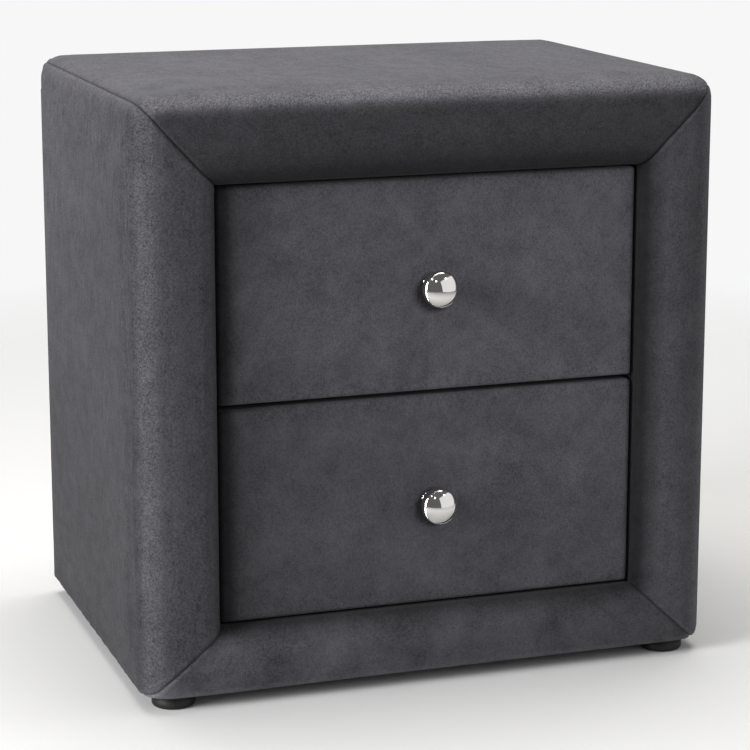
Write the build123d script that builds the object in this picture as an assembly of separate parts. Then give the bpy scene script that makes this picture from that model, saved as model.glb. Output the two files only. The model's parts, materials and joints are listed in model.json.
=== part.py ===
from build123d import *
import os

# Upholstered two-drawer nightstand. Millimetres; X to the right, Y to the back, Z up.
# The origin is on the floor, under the middle of the whole object with its knobs.

# ---- driving dimensions ----
WIDTH = 500
HEIGHT = 500
CABINET_DEPTH = 355        # face of the front frame to the back panel's outer face
FOOT_HEIGHT = 11

OPENING_WIDTH = 365
OPENING_BOTTOM = 65
OPENING_TOP = 428
ROLL_RADIUS = 16           # padded edge that rolls into the drawer opening

FRONT_EDGE_RADIUS = 26     # upright front edges
TOP_EDGE_RADIUS = 20
BOTTOM_EDGE_RADIUS = 9
REAR_EDGE_RADIUS = 4

COVER = 1.5                # velvet
FOAM = 8
REVEAL_FOAM = 3            # foam on the sides of the opening
BOARD = 15
UPRIGHT_CHAMFER = 6         # planed off the timber under the rounded edges
TOP_CHAMFER = 3
BACK_BOARD = 3
COVER_TURN = 25            # velvet turned onto the back
SOFT_GAP = 0.2             # left between foam and velvet

DRAWER_RECESS = 16         # drawer face behind the frame face
DRAWER_GAP = 2             # round the pair of drawers
MIDDLE_GAP = 4             # between the two drawers
DRAWER_COVER = 1.2
DRAWER_FOAM = 4
DRAWER_CORNER_RADIUS = 5
DRAWER_RIM_RADIUS = 4
DRAWER_TURN = 20           # velvet turned onto the back of a drawer front
BOX_DEPTH = 270
BOX_HEIGHT = 120
BOX_LIFT = 18              # box bottom above the drawer front's lower edge
BOX_SIDE = 12
BOX_BOTTOM = 3
GROOVE_DEPTH = 5
GROOVE_LIFT = 10
GROOVE_PLAY = 0.2

RUNNER_LENGTH = 250
RUNNER_THICKNESS = 12.7
RUNNER_HEIGHT = 45
RUNNER_STEEL = 1.2
RUNNER_BALL_GAP = 2.7      # between two nested channels, where the balls run
RUNNER_FLOOR_GAP = 1.2     # between the webs of the cabinet and middle channels
RUNNER_LIP = 1.8
RUNNER_START = 2           # behind the back of the drawer front
RUNNER_STOP_GAP = 0.5
RUNNER_STOP_HALF = 12

KNOB_RADIUS = 15
KNOB_STANDOFF = 17         # drawer face to the middle of the ball
KNOB_FLANGE_RADIUS = 8
KNOB_FLANGE = 2
KNOB_NECK_RADIUS = 5.5
KNOB_THREAD_DEPTH = 12

FOOT_RADIUS = 18
FOOT_EDGE_RADIUS = 2.5
FOOT_FROM_SIDE = 31
FOOT_FROM_FRONT = 27
FOOT_FROM_BACK = 32

HOLE_PLAY = 0.05           # round every screw and nail
NAIL = {"radius": 0.9, "length": 17, "head_radius": 2.2, "head": 0.8}
FOOT_SCREW = {"radius": 1.9, "length": 22, "head_radius": 4.2, "head": 2.5}
FOOT_SCREW_START = 1.5     # screw head above the floor
FOOT_HOLE_RADIUS = 2.3     # through a foot and the velvet above it
FOOT_RECESS_RADIUS = 5
FOOT_RECESS = 4
RUNNER_SCREW = {"radius": 1.7, "length": 11.2, "head_radius": 3.3, "head": 0.9}
RUNNER_SCREW_INSET = 30    # from each end of a runner
KNOB_SCREW = {"radius": 2, "head_radius": 4, "head": 2.4}

# ---- places that follow ----
KNOB_PROUD = KNOB_STANDOFF + KNOB_RADIUS - DRAWER_RECESS
FRONT = KNOB_PROUD - (CABINET_DEPTH + KNOB_PROUD) / 2
BACK = FRONT + CABINET_DEPTH
SHELL_BACK = BACK - BACK_BOARD
BOARD_BACK = SHELL_BACK - COVER
BASE = FOOT_HEIGHT
BOARD_BASE = BASE + COVER
SKIN = COVER + FOAM        # velvet and foam together
BOARD_X = WIDTH / 2 - SKIN
BOARD_FRONT = FRONT + SKIN
BOARD_TOP = HEIGHT - SKIN
FRAME_BACK = BOARD_FRONT + BOARD
OPENING_X = OPENING_WIDTH / 2
REVEAL = COVER + REVEAL_FOAM
PANEL_BOTTOM = BOARD_BASE + BOARD
PANEL_TOP = BOARD_TOP - BOARD

DRAWER_X = OPENING_X - DRAWER_GAP
DRAWER_HEIGHT = (OPENING_TOP - OPENING_BOTTOM - 2 * DRAWER_GAP - MIDDLE_GAP) / 2
LOWER_Z = OPENING_BOTTOM + DRAWER_GAP
UPPER_Z = LOWER_Z + DRAWER_HEIGHT + MIDDLE_GAP
DRAWER_FACE = FRONT + DRAWER_RECESS
DRAWER_BOARD_FRONT = DRAWER_FACE + DRAWER_COVER + DRAWER_FOAM
DRAWER_BOARD_BACK = DRAWER_BOARD_FRONT + BOARD
BOX_FRONT = DRAWER_BOARD_BACK + DRAWER_COVER
BOX_BACK = BOX_FRONT + BOX_DEPTH
BOX_X = OPENING_X - RUNNER_THICKNESS
BOX_INNER_X = BOX_X - BOX_SIDE
RUNNER_Y = BOX_FRONT + RUNNER_START
RUNNER_END = RUNNER_Y + RUNNER_LENGTH
MIDDLE_HALF = RUNNER_HEIGHT / 2 - RUNNER_STEEL - RUNNER_BALL_GAP
DRAWER_RUNNER_HALF = MIDDLE_HALF - RUNNER_STEEL - RUNNER_BALL_GAP
CABINET_TIP_X = BOX_X + 2
MIDDLE_WEB_X = OPENING_X - RUNNER_STEEL - RUNNER_FLOOR_GAP
MIDDLE_TIP_X = BOX_X + 1.5
DRAWER_TIP_X = MIDDLE_WEB_X - RUNNER_STEEL - 0.8

parts = {}


# ---- shared shapes ----
def block(x0, x1, y0, y1, z0, z1):
    """Box between two corners."""
    size = Box(x1 - x0, y1 - y0, z1 - z0)
    return Pos((x0 + x1) / 2, (y0 + y1) / 2, (z0 + z1) / 2) * size


def rod(radius, start, end):
    """Round bar from start to end along one axis."""
    line = Edge.make_line(start, end)
    plane = Plane(origin=start, z_dir=line % 0)
    return extrude(plane * Circle(radius), amount=line.length)


def both_sides(side_name, shape):
    """Keep the right-hand shape, or mirror it for the left."""
    return shape if side_name == "right" else mirror(shape, about=Plane.YZ)


def fuse(shapes):
    """All the shapes joined in one solid or group of solids."""
    joined = shapes[0]
    for shape in shapes[1:]:
        joined = joined + shape
    return joined


# ---- upholstered cabinet form ----
def padded_block(inset):
    """The cabinet's rounded outer form, moved inwards by inset."""
    x = WIDTH / 2 - inset
    body = block(-x, x, FRONT + inset, SHELL_BACK - inset, BASE + inset, HEIGHT - inset)
    uprights = body.edges().filter_by(Axis.Z).sort_by(Axis.Y)[:2]
    body = fillet(uprights, FRONT_EDGE_RADIUS - inset)
    for face_index, radius in ((-1, TOP_EDGE_RADIUS), (0, BOTTOM_EDGE_RADIUS)):
        rim = body.faces().sort_by(Axis.Z)[face_index].edges()
        rear = rim.sort_by(Axis.Y)[-1]
        body = fillet([edge for edge in rim if edge != rear], radius - inset)
    rear_rim = body.faces().sort_by(Axis.Y)[-1].edges()
    return fillet(rear_rim, REAR_EDGE_RADIUS - inset)


def pocket(inset):
    """The drawer opening as far back as the frame, widened by inset."""
    x = OPENING_X + inset
    return block(-x, x, FRONT - COVER, FRAME_BACK, OPENING_BOTTOM - inset, OPENING_TOP + inset)


def roll_cutter(side, inset):
    """What the rolled edge on one side of the opening loses from a square edge."""
    radius = ROLL_RADIUS - inset
    reach = radius + inset + COVER
    y = FRONT + ROLL_RADIUS
    span_x = WIDTH / 2
    if side in ("left", "right"):
        x = OPENING_X + ROLL_RADIUS
        corner = block(OPENING_X - COVER, x, y - reach, y, 0, HEIGHT)
        corner -= rod(radius, (x, y, 0), (x, y, HEIGHT))
        return both_sides(side, corner)
    if side == "top":
        z = OPENING_TOP + ROLL_RADIUS
        corner = block(-span_x, span_x, y - reach, y, OPENING_TOP - COVER, z)
    else:
        z = OPENING_BOTTOM - ROLL_RADIUS
        corner = block(-span_x, span_x, y - reach, y, z, OPENING_BOTTOM + COVER)
    return corner - rod(radius, (-span_x, y, z), (span_x, y, z))


def mitre_wedge(side):
    """The share of the cabinet that one side's cover has, between two mitre seams."""
    inner = {
        "top_left": (-OPENING_X, OPENING_TOP),
        "top_right": (OPENING_X, OPENING_TOP),
        "bottom_left": (-OPENING_X, OPENING_BOTTOM),
        "bottom_right": (OPENING_X, OPENING_BOTTOM),
    }
    outer = {
        "top_left": (-WIDTH / 2, HEIGHT),
        "top_right": (WIDTH / 2, HEIGHT),
        "bottom_left": (-WIDTH / 2, BASE),
        "bottom_right": (WIDTH / 2, BASE),
    }
    ends = {
        "top": ("top_left", "top_right"),
        "bottom": ("bottom_left", "bottom_right"),
        "left": ("top_left", "bottom_left"),
        "right": ("top_right", "bottom_right"),
    }
    stretch = 1.4
    first, second = ends[side]
    far = {}
    for name in (first, second):
        far[name] = tuple(a + stretch * (b - a) for a, b in zip(inner[name], outer[name]))
    outline = Plane.XZ * make_face(Polyline(inner[first], far[first], far[second], inner[second], close=True))
    return Pos(0, BACK + COVER, 0) * extrude(outline, amount=CABINET_DEPTH + 2 * COVER)


def side_form(side, inset):
    """One side's share of the padded form: rounded block, opening and rolled edge."""
    return padded_block(inset) - pocket(inset) - roll_cutter(side, inset)


def board_form():
    """What the timber fills, with its sharp outer edges planed off."""
    body = block(-BOARD_X, BOARD_X, BOARD_FRONT, BOARD_BACK, BOARD_BASE, BOARD_TOP)
    body = chamfer(body.edges().filter_by(Axis.Z).sort_by(Axis.Y)[:2], UPRIGHT_CHAMFER)
    rim = body.faces().sort_by(Axis.Z)[-1].edges()
    rear = rim.sort_by(Axis.Y)[-1]
    body = chamfer([edge for edge in rim if edge != rear], TOP_CHAMFER)
    low_rear = body.faces().sort_by(Axis.Z)[0].edges().sort_by(Axis.Y)[-1]
    return chamfer(low_rear, REAR_EDGE_RADIUS - COVER)


# ---- fasteners ----
def nail_places():
    """Where the back panel is nailed: round its rim, into the edges of the boards."""
    x = BOARD_X - BOARD / 2
    low = BOARD_BASE + BOARD / 2
    high = BOARD_TOP - BOARD / 2
    side_rows = [(side * x, low + (high - low) * step / 4) for side in (-1, 1) for step in (1, 2, 3)]
    cross_rows = [(x * step / 2, z) for z in (low, high) for step in (-2, -1, 0, 1, 2)]
    return side_rows + cross_rows


def nails(play):
    """The back panel's nails, or their holes when play is above zero."""
    made = []
    for x, z in nail_places():
        made.append(rod(NAIL["radius"] + play, (x, BACK - NAIL["length"] - play, z), (x, BACK, z)))
        made.append(rod(NAIL["head_radius"] + play, (x, BACK - NAIL["head"] - play, z), (x, BACK, z)))
    return fuse(made)


def foot_places():
    """Names and centres of the four feet."""
    x = WIDTH / 2 - FOOT_FROM_SIDE
    rows = {"front": FRONT + FOOT_FROM_FRONT, "rear": BACK - FOOT_FROM_BACK}
    return {f"foot_{row}_{side}": (sign * x, y) for row, y in rows.items()
            for side, sign in (("left", -1), ("right", 1))}


def foot_screw(x, y, play):
    """The screw that holds one foot, or its hole when play is above zero."""
    start = FOOT_SCREW_START
    tip = start + FOOT_SCREW["length"] + play
    seat = start + FOOT_SCREW["head"] + play
    shank = rod(FOOT_SCREW["radius"] + play, (x, y, start), (x, y, tip))
    return shank + rod(FOOT_SCREW["head_radius"] + play, (x, y, start - play), (x, y, seat))


def runner_screw(seat_x, sign, y, play):
    """Flat-headed runner screw that points along sign, or its hole when play is above zero."""
    tip_x = seat_x + sign * (RUNNER_SCREW["length"] + play)
    head_x = seat_x - sign * RUNNER_SCREW["head"]
    shank = rod(RUNNER_SCREW["radius"] + play, (seat_x, y, 0), (tip_x, y, 0))
    return shank + rod(RUNNER_SCREW["head_radius"] + play, (head_x, y, 0), (seat_x, y, 0))


# ---- telescopic runners, drawn for the right-hand side ----
def channel(web_x, tip_x, half_height, length):
    """U-shaped steel channel along Y with its web at web_x and open towards tip_x."""
    sign = 1 if tip_x > web_x else -1
    y = RUNNER_Y + length
    outside = block(min(web_x, tip_x), max(web_x, tip_x), RUNNER_Y, y, -half_height, half_height)
    inner_web = web_x + sign * RUNNER_STEEL
    past_tip = tip_x + sign
    hollow_z = half_height - RUNNER_STEEL
    hollow = block(min(inner_web, past_tip), max(inner_web, past_tip), RUNNER_Y, y, -hollow_z, hollow_z)
    return outside - hollow


def runner_screw_rows():
    """Places along Y of the two screws in each runner member."""
    return (RUNNER_Y + RUNNER_SCREW_INSET, RUNNER_END - RUNNER_SCREW_INSET)


def cabinet_runner():
    """Outer channel with inward lips and a stop at its back end."""
    length = RUNNER_LENGTH + RUNNER_STOP_GAP + RUNNER_STEEL
    half = RUNNER_HEIGHT / 2
    member = channel(OPENING_X, CABINET_TIP_X, half, length)
    for sign in (-1, 1):
        outer_z = sign * (half - RUNNER_STEEL)
        inner_z = sign * (half - RUNNER_STEEL - RUNNER_LIP)
        member += block(CABINET_TIP_X, CABINET_TIP_X + RUNNER_STEEL, RUNNER_Y, RUNNER_Y + length,
                        min(outer_z, inner_z), max(outer_z, inner_z))
    stop_y = RUNNER_Y + length - RUNNER_STEEL
    member += block(CABINET_TIP_X + RUNNER_STEEL, OPENING_X - RUNNER_STEEL / 2, stop_y, RUNNER_Y + length,
                    -RUNNER_STOP_HALF, RUNNER_STOP_HALF)
    for y in runner_screw_rows():
        member -= cabinet_runner_screw(y, HOLE_PLAY)
    return member


def cabinet_runner_screw(y, play):
    """Screw from the cabinet channel into the runner panel."""
    return runner_screw(OPENING_X - RUNNER_STEEL, 1, y, play)


def middle_runner():
    """Floating channel between the other two."""
    return channel(MIDDLE_WEB_X, MIDDLE_TIP_X, MIDDLE_HALF, RUNNER_LENGTH)


def drawer_runner():
    """Inner channel on the side of the drawer box."""
    member = channel(BOX_X, DRAWER_TIP_X, DRAWER_RUNNER_HALF, RUNNER_LENGTH)
    for y in runner_screw_rows():
        member -= drawer_runner_screw(y, HOLE_PLAY)
    return member


def drawer_runner_screw(y, play):
    """Screw from the drawer channel into the side of the box."""
    return runner_screw(BOX_X + RUNNER_STEEL, -1, y, play)


# ---- cabinet ----
def make_boards():
    """The timber carcass and its front frame."""
    form = board_form()
    stile_x = OPENING_X + REVEAL
    boxes = {
        "top_panel": (-BOARD_X, BOARD_X, BOARD_FRONT, BOARD_BACK, PANEL_TOP, BOARD_TOP),
        "bottom_panel": (-BOARD_X, BOARD_X, BOARD_FRONT, BOARD_BACK, BOARD_BASE, PANEL_BOTTOM),
        "header_rail": (-stile_x, stile_x, BOARD_FRONT, FRAME_BACK, OPENING_TOP + REVEAL, PANEL_TOP),
        "bottom_rail": (-stile_x, stile_x, BOARD_FRONT, FRAME_BACK, PANEL_BOTTOM, OPENING_BOTTOM - REVEAL),
        "right_stile": (stile_x, BOARD_X, BOARD_FRONT, FRAME_BACK, PANEL_BOTTOM, PANEL_TOP),
        "right_side_panel": (BOARD_X - BOARD, BOARD_X, FRAME_BACK, BOARD_BACK, PANEL_BOTTOM, PANEL_TOP),
        "right_runner_panel": (OPENING_X, OPENING_X + BOARD, FRAME_BACK, BOARD_BACK, PANEL_BOTTOM, PANEL_TOP),
    }
    nail_holes = nails(HOLE_PLAY)
    foot_holes = fuse([foot_screw(x, y, HOLE_PLAY) for x, y in foot_places().values()])
    boards = {name: block(*box) & form for name, box in boxes.items()}
    for z in (runner_z(LOWER_Z), runner_z(UPPER_Z)):
        for y in runner_screw_rows():
            boards["right_runner_panel"] -= Pos(0, 0, z) * cabinet_runner_screw(y, HOLE_PLAY)
    for name in ("right_stile", "right_side_panel", "right_runner_panel"):
        boards[name.replace("right", "left")] = both_sides("left", boards[name])
    for name in ("top_panel", "bottom_panel", "left_side_panel", "right_side_panel"):
        boards[name] -= nail_holes
    boards["bottom_panel"] -= foot_holes
    parts.update(boards)


def make_back():
    """Hardboard back and its nails."""
    x = BOARD_X + 2
    panel = block(-x, x, SHELL_BACK, BACK, BASE + 8, HEIGHT - 8)
    parts["back_panel"] = panel - nails(HOLE_PLAY)
    parts["back_panel_nails"] = nails(0)


def foam_share(side):
    """One foam pad's share: mitred on the frame, and behind it the side pads reach right down."""
    share = mitre_wedge(side)
    if side == "bottom":
        return share & block(-WIDTH / 2, WIDTH / 2, FRONT, FRAME_BACK, BASE, OPENING_BOTTOM)
    if side == "top":
        return share
    low_corner = block(BOARD_X, WIDTH / 2, FRAME_BACK, SHELL_BACK, BASE, OPENING_BOTTOM)
    return share + both_sides(side, low_corner)


def make_upholstery():
    """Foam pads and velvet covers: top, left, right and bottom, mitred at the corners."""
    timber = board_form() - pocket(REVEAL)
    turn_x = WIDTH / 2 - COVER_TURN
    rear_window = block(-turn_x, turn_x, FRAME_BACK, BACK, BASE + COVER_TURN, HEIGHT - COVER_TURN)
    holes = nails(HOLE_PLAY)
    for x, y in foot_places().values():
        holes += rod(FOOT_HOLE_RADIUS, (x, y, 0), (x, y, PANEL_BOTTOM))
    foam_names = {"top": "top_foam", "left": "left_foam", "right": "right_foam", "bottom": "bottom_rail_foam"}
    for side, foam_name in foam_names.items():
        skin = side_form(side, 0) - side_form(side, COVER) - rear_window
        parts[f"{side}_cover"] = (skin & mitre_wedge(side)) - holes
        parts[foam_name] = (side_form(side, COVER + SOFT_GAP) - timber) & foam_share(side)


def make_feet():
    """Four plastic glide feet with their screws."""
    foot_screws = []
    for name, (x, y) in foot_places().items():
        foot = Pos(x, y, FOOT_HEIGHT / 2) * Cylinder(FOOT_RADIUS, FOOT_HEIGHT)
        foot = fillet(foot.edges().sort_by(Axis.Z)[0], FOOT_EDGE_RADIUS)
        foot -= rod(FOOT_HOLE_RADIUS, (x, y, 0), (x, y, FOOT_HEIGHT))
        foot -= rod(FOOT_RECESS_RADIUS, (x, y, 0), (x, y, FOOT_RECESS))
        parts[name] = foot
        foot_screws.append(foot_screw(x, y, 0))
    parts["foot_screws"] = fuse(foot_screws)


# ---- drawers ----
def runner_z(front_z):
    """Height of the runner's middle line for the drawer whose front starts at front_z."""
    return front_z + BOX_LIFT + BOX_HEIGHT / 2


def front_block(front_z, inset):
    """The padded drawer front's form, moved inwards by inset."""
    x = DRAWER_X - inset
    z1 = front_z + DRAWER_HEIGHT - inset
    body = block(-x, x, DRAWER_FACE + inset, BOX_FRONT - inset, front_z + inset, z1)
    body = fillet(body.edges().filter_by(Axis.Y), DRAWER_CORNER_RADIUS - inset)
    rim = body.faces().sort_by(Axis.Y)[0].edges()
    return fillet(rim, DRAWER_RIM_RADIUS - inset)


def knob_screw(z, play):
    """Machine screw from inside the box into the knob, or its hole when play is above zero."""
    seat = BOX_FRONT + BOX_SIDE
    tip = DRAWER_FACE - KNOB_THREAD_DEPTH + 2
    shank = rod(KNOB_SCREW["radius"] + play, (0, tip, z), (0, seat, z))
    if play > 0:
        return shank
    return shank + rod(KNOB_SCREW["head_radius"], (0, seat, z), (0, seat + KNOB_SCREW["head"], z))


def knob(z):
    """Round knob on a short neck and a flange, with a threaded hole at its back."""
    ball_y = -KNOB_STANDOFF
    neck_reach = (KNOB_RADIUS ** 2 - KNOB_NECK_RADIUS ** 2) ** 0.5
    neck_y = ball_y + neck_reach
    outline = Polyline((0, 0), (KNOB_FLANGE_RADIUS, 0), (KNOB_FLANGE_RADIUS, -KNOB_FLANGE),
                       (KNOB_NECK_RADIUS, -KNOB_FLANGE), (KNOB_NECK_RADIUS, neck_y))
    ball = ThreePointArc((KNOB_NECK_RADIUS, neck_y), (KNOB_RADIUS, ball_y), (0, ball_y - KNOB_RADIUS))
    axis_line = Line((0, ball_y - KNOB_RADIUS), (0, 0))
    body = revolve(make_face(outline + ball + axis_line), Axis.Y)
    hole_radius = KNOB_SCREW["radius"] + HOLE_PLAY
    thread = rod(hole_radius, (0, DRAWER_FACE - KNOB_THREAD_DEPTH, z), (0, DRAWER_FACE, z))
    return Pos(0, DRAWER_FACE, z) * body - thread


def make_drawer(prefix, front_z):
    """One drawer: padded front, knob, box and the runner members fixed to it."""
    top_z = front_z + DRAWER_HEIGHT
    knob_z = front_z + DRAWER_HEIGHT / 2
    screw_hole = knob_screw(knob_z, HOLE_PLAY)
    far = DRAWER_X + 1
    behind_foam = block(-far, far, DRAWER_BOARD_FRONT, BOX_FRONT, front_z, top_z)
    soft_form = front_block(front_z, DRAWER_COVER + SOFT_GAP)
    turn_x = DRAWER_X - DRAWER_TURN
    window = block(-turn_x, turn_x, DRAWER_BOARD_BACK, BOX_FRONT, front_z + DRAWER_TURN, top_z - DRAWER_TURN)
    skin = front_block(front_z, 0) - front_block(front_z, DRAWER_COVER) - window
    board_x = DRAWER_X - DRAWER_COVER - SOFT_GAP
    board_inset = DRAWER_COVER + SOFT_GAP
    board = block(-board_x, board_x, DRAWER_BOARD_FRONT, DRAWER_BOARD_BACK,
                  front_z + board_inset, top_z - board_inset)
    board = fillet(board.edges().filter_by(Axis.Y), DRAWER_CORNER_RADIUS - DRAWER_COVER)
    parts[f"{prefix}_drawer_cover"] = skin - screw_hole
    parts[f"{prefix}_drawer_foam"] = soft_form - behind_foam - screw_hole
    parts[f"{prefix}_drawer_front"] = board - screw_hole
    parts[f"{prefix}_knob"] = knob(knob_z)
    parts[f"{prefix}_knob_screw"] = knob_screw(knob_z, 0)
    make_box(prefix, front_z + BOX_LIFT, screw_hole)
    make_runners(prefix, runner_z(front_z))


def make_box(prefix, z0, screw_hole):
    """Drawer box: two sides between which stand the front and back, and a grooved-in bottom."""
    z1 = z0 + BOX_HEIGHT
    reach = GROOVE_DEPTH - GROOVE_PLAY
    floor_z = z0 + GROOVE_LIFT
    groove_x = BOX_INNER_X + GROOVE_DEPTH
    inner_front = BOX_FRONT + BOX_SIDE
    inner_back = BOX_BACK - BOX_SIDE
    groove = block(-groove_x, groove_x, inner_front - GROOVE_DEPTH, inner_back + GROOVE_DEPTH,
                   floor_z, floor_z + BOX_BOTTOM + GROOVE_PLAY)
    side = block(BOX_INNER_X, BOX_X, BOX_FRONT, BOX_BACK, z0, z1) - groove
    middle_z = z0 + BOX_HEIGHT / 2
    for y in runner_screw_rows():
        side -= Pos(0, 0, middle_z) * drawer_runner_screw(y, HOLE_PLAY)
    for side_name in ("left", "right"):
        parts[f"{prefix}_box_{side_name}"] = both_sides(side_name, side)
    front = block(-BOX_INNER_X, BOX_INNER_X, BOX_FRONT, inner_front, z0, z1)
    back = block(-BOX_INNER_X, BOX_INNER_X, inner_back, BOX_BACK, z0, z1)
    parts[f"{prefix}_box_front"] = front - groove - screw_hole
    parts[f"{prefix}_box_back"] = back - groove
    floor_x = BOX_INNER_X + reach
    parts[f"{prefix}_box_bottom"] = block(-floor_x, floor_x, inner_front - reach, inner_back + reach,
                                          floor_z, floor_z + BOX_BOTTOM)


def make_runners(prefix, z):
    """Both runners of one drawer, three members each, with the drawer's share of the screws."""
    members = {
        "cabinet_runner": cabinet_runner(),
        "middle_runner": middle_runner(),
        "drawer_runner": drawer_runner(),
    }
    screws = []
    for side_name in ("left", "right"):
        for member_name, member in members.items():
            parts[f"{prefix}_{side_name}_{member_name}"] = both_sides(side_name, Pos(0, 0, z) * member)
        for y in runner_screw_rows():
            screws.append(both_sides(side_name, Pos(0, 0, z) * drawer_runner_screw(y, 0)))
    parts[f"{prefix}_drawer_screws"] = fuse(screws)


def make_cabinet_runner_screws():
    """All the screws that hold the runners to the cabinet."""
    screws = []
    for z in (runner_z(LOWER_Z), runner_z(UPPER_Z)):
        for side_name in ("left", "right"):
            for y in runner_screw_rows():
                screws.append(both_sides(side_name, Pos(0, 0, z) * cabinet_runner_screw(y, 0)))
    parts["cabinet_runner_screws"] = fuse(screws)


make_boards()
make_back()
make_upholstery()
make_feet()
make_drawer("upper", UPPER_Z)
make_drawer("lower", LOWER_Z)
make_cabinet_runner_screws()

os.makedirs("parts", exist_ok=True)
for name, shape in parts.items():
    export_step(shape, f"parts/{name}.step")
print(len(parts), "nodes")
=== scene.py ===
import json
import math

import bpy
import numpy as np
from mathutils import Matrix, Vector
from mathutils.kdtree import KDTree


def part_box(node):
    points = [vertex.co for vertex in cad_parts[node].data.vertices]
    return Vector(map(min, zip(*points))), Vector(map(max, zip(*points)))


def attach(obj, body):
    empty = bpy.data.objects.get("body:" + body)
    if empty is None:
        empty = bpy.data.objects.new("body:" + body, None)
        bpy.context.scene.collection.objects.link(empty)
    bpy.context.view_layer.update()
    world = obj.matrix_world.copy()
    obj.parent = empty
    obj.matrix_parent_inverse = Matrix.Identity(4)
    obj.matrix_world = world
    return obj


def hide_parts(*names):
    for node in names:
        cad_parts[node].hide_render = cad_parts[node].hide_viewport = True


# Velvet-covered nightstand with two drawers. Metres, in the frame of the CAD model: X to the right,
# Y to the back, Z up. The velvet is sewn from four covers on the cabinet and one on each drawer.

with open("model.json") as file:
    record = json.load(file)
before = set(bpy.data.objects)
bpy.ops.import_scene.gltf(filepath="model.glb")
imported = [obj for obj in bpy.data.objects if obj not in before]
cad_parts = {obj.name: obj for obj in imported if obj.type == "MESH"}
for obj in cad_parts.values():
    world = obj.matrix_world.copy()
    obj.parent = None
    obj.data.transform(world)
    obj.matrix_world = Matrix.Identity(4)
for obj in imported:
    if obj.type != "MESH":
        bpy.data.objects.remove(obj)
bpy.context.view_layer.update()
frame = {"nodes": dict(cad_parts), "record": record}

MM = 0.001
QUARTER = math.pi / 2          # a quarter turn

# ---- places read from the frame ----
top_low, top_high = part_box("top_cover")
bottom_low, bottom_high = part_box("bottom_cover")
HALF_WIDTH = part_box("right_cover")[1].x
FRONT = top_low.y
REAR = top_high.y
TOP = top_high.z
BASE = bottom_low.z
OPENING_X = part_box("upper_right_cabinet_runner")[1].x
OPENING_TOP = top_low.z
OPENING_BOTTOM = bottom_high.z
FRAME_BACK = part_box("header_rail")[1].y

# ---- the padded shape ----
ROLL_RADIUS = 16 * MM          # the padded edge that rolls into the opening
UPRIGHT_RADIUS = 26 * MM
TOP_RADIUS = 20 * MM
BASE_RADIUS = 9 * MM
REAR_RADIUS = 4 * MM
BACK_TURN = 25 * MM            # velvet turned onto the back
CORNER_SOFTNESS = 3 * MM       # how soft the opening's inner corners are
COVER_THICKNESS = 1.2 * MM
MITRE_REACH = 70 * MM          # how far along a cover its mitres bend it
SURFACE_STEP = 0.05 * MM       # step over which a form's slope is measured
LEAST_SLOPE = 0.05             # keeps a move short where a form is nearly level

SEAM_DEPTH = 1.0 * MM
SEAM_WIDTH = 1.15 * MM
SEAM_SAMPLE = 0.5 * MM
SEAM_FADE = 0.6                # how much shallower a seam is at the back
SEAM_FADE_START = 130 * MM
SEAM_FADE_LENGTH = 250 * MM
SEAM_DRIFT_SHARE = 0.125       # part of the flank over which a seam drifts aside
# width of the painted shade along a seam's valley
SEAM_SHADE_WIDTH = 0.8 * MM
SEAM_RIDGE = 0.35 * MM         # the seam allowances under the velvet
SEAM_RIDGE_PLACE = 3.2 * MM
SEAM_RIDGE_WIDTH = 2.2 * MM
PUCKER = 0.3 * MM
PUCKER_REACH = 8 * MM
PUCKER_LENGTH = 5 * MM

CABINET_SWELL = 2.6 * MM       # the most that a cabinet cover stands proud
CABINET_CLOTH_CELL = 5.5 * MM
CABINET_MESH_CELLS = (0.55 * MM, 4.5 * MM)     # finest beside the seams, coarsest between them
MESH_GROWTH = 1.22             # how fast a mesh's cells grow from the finest to the coarsest
CLOTH_HELD = (1.3, 5)          # the cloth is held before and after these stages
CLOTH_PRESSURE = 3.0
CLOTH_FRAMES = 20
CLOTH_SMOOTHINGS = 6

DRAWER_CORNER_RADIUS = 3 * MM
DRAWER_RIM_RADIUS = 4 * MM
DRAWER_TURN = 20 * MM
DRAWER_SWELL = 1.4 * MM
DRAWER_CLOTH_CELL = 5 * MM
DRAWER_MESH_CELLS = (0.8 * MM, 3.2 * MM)
DRAWER_DEPTH_STEPS = 13
DRAWER_RIPPLE = 0.25 * MM      # slight waviness of the stretched fronts
RIPPLE_LENGTHS = (31 * MM, 37 * MM)
DRAWER_RIM_FADE = 12 * MM      # the swell dies away towards the rim
KNOB_HELD = 9 * MM             # the cloth is held this far round the knob's screw
DIMPLE_FLOOR = 8 * MM
DIMPLE_SLOPE = 14 * MM

FOAM_CELL = 4 * MM
FOAM_GAP = 4 * MM              # foam kept this far under the padded surface
FOAM_ROUNDS = 8

# ---- the seams ----
# "end": a mitre's outer end; "sag": how far it hangs under a straight line; "dark": how dark the painted
# shade in its valley is; "drift": how far the seam moves aside where it runs back along the flank
SEAMS = {
    "top_left": {"end": (-HALF_WIDTH + 6 * MM, TOP - 6 * MM), "sag": 2 * MM, "dark": 0.6,
                 "drift": (0, 0)},
    "top_right": {"end": (HALF_WIDTH - 4.5 * MM, TOP - 8 * MM), "sag": -1.5 * MM, "dark": 0.6,
                  "drift": (0, 0)},
    "bottom_left": {"end": (-HALF_WIDTH + 4 * MM, BASE + 1.5 * MM), "sag": 0, "dark": 0.25,
                    "drift": (-1 * MM, 1 * MM)},
    "bottom_right": {"end": (HALF_WIDTH - 10 * MM, BASE), "sag": 0, "dark": 0.35,
                     "drift": (7 * MM, 2.5 * MM)},
}
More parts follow.
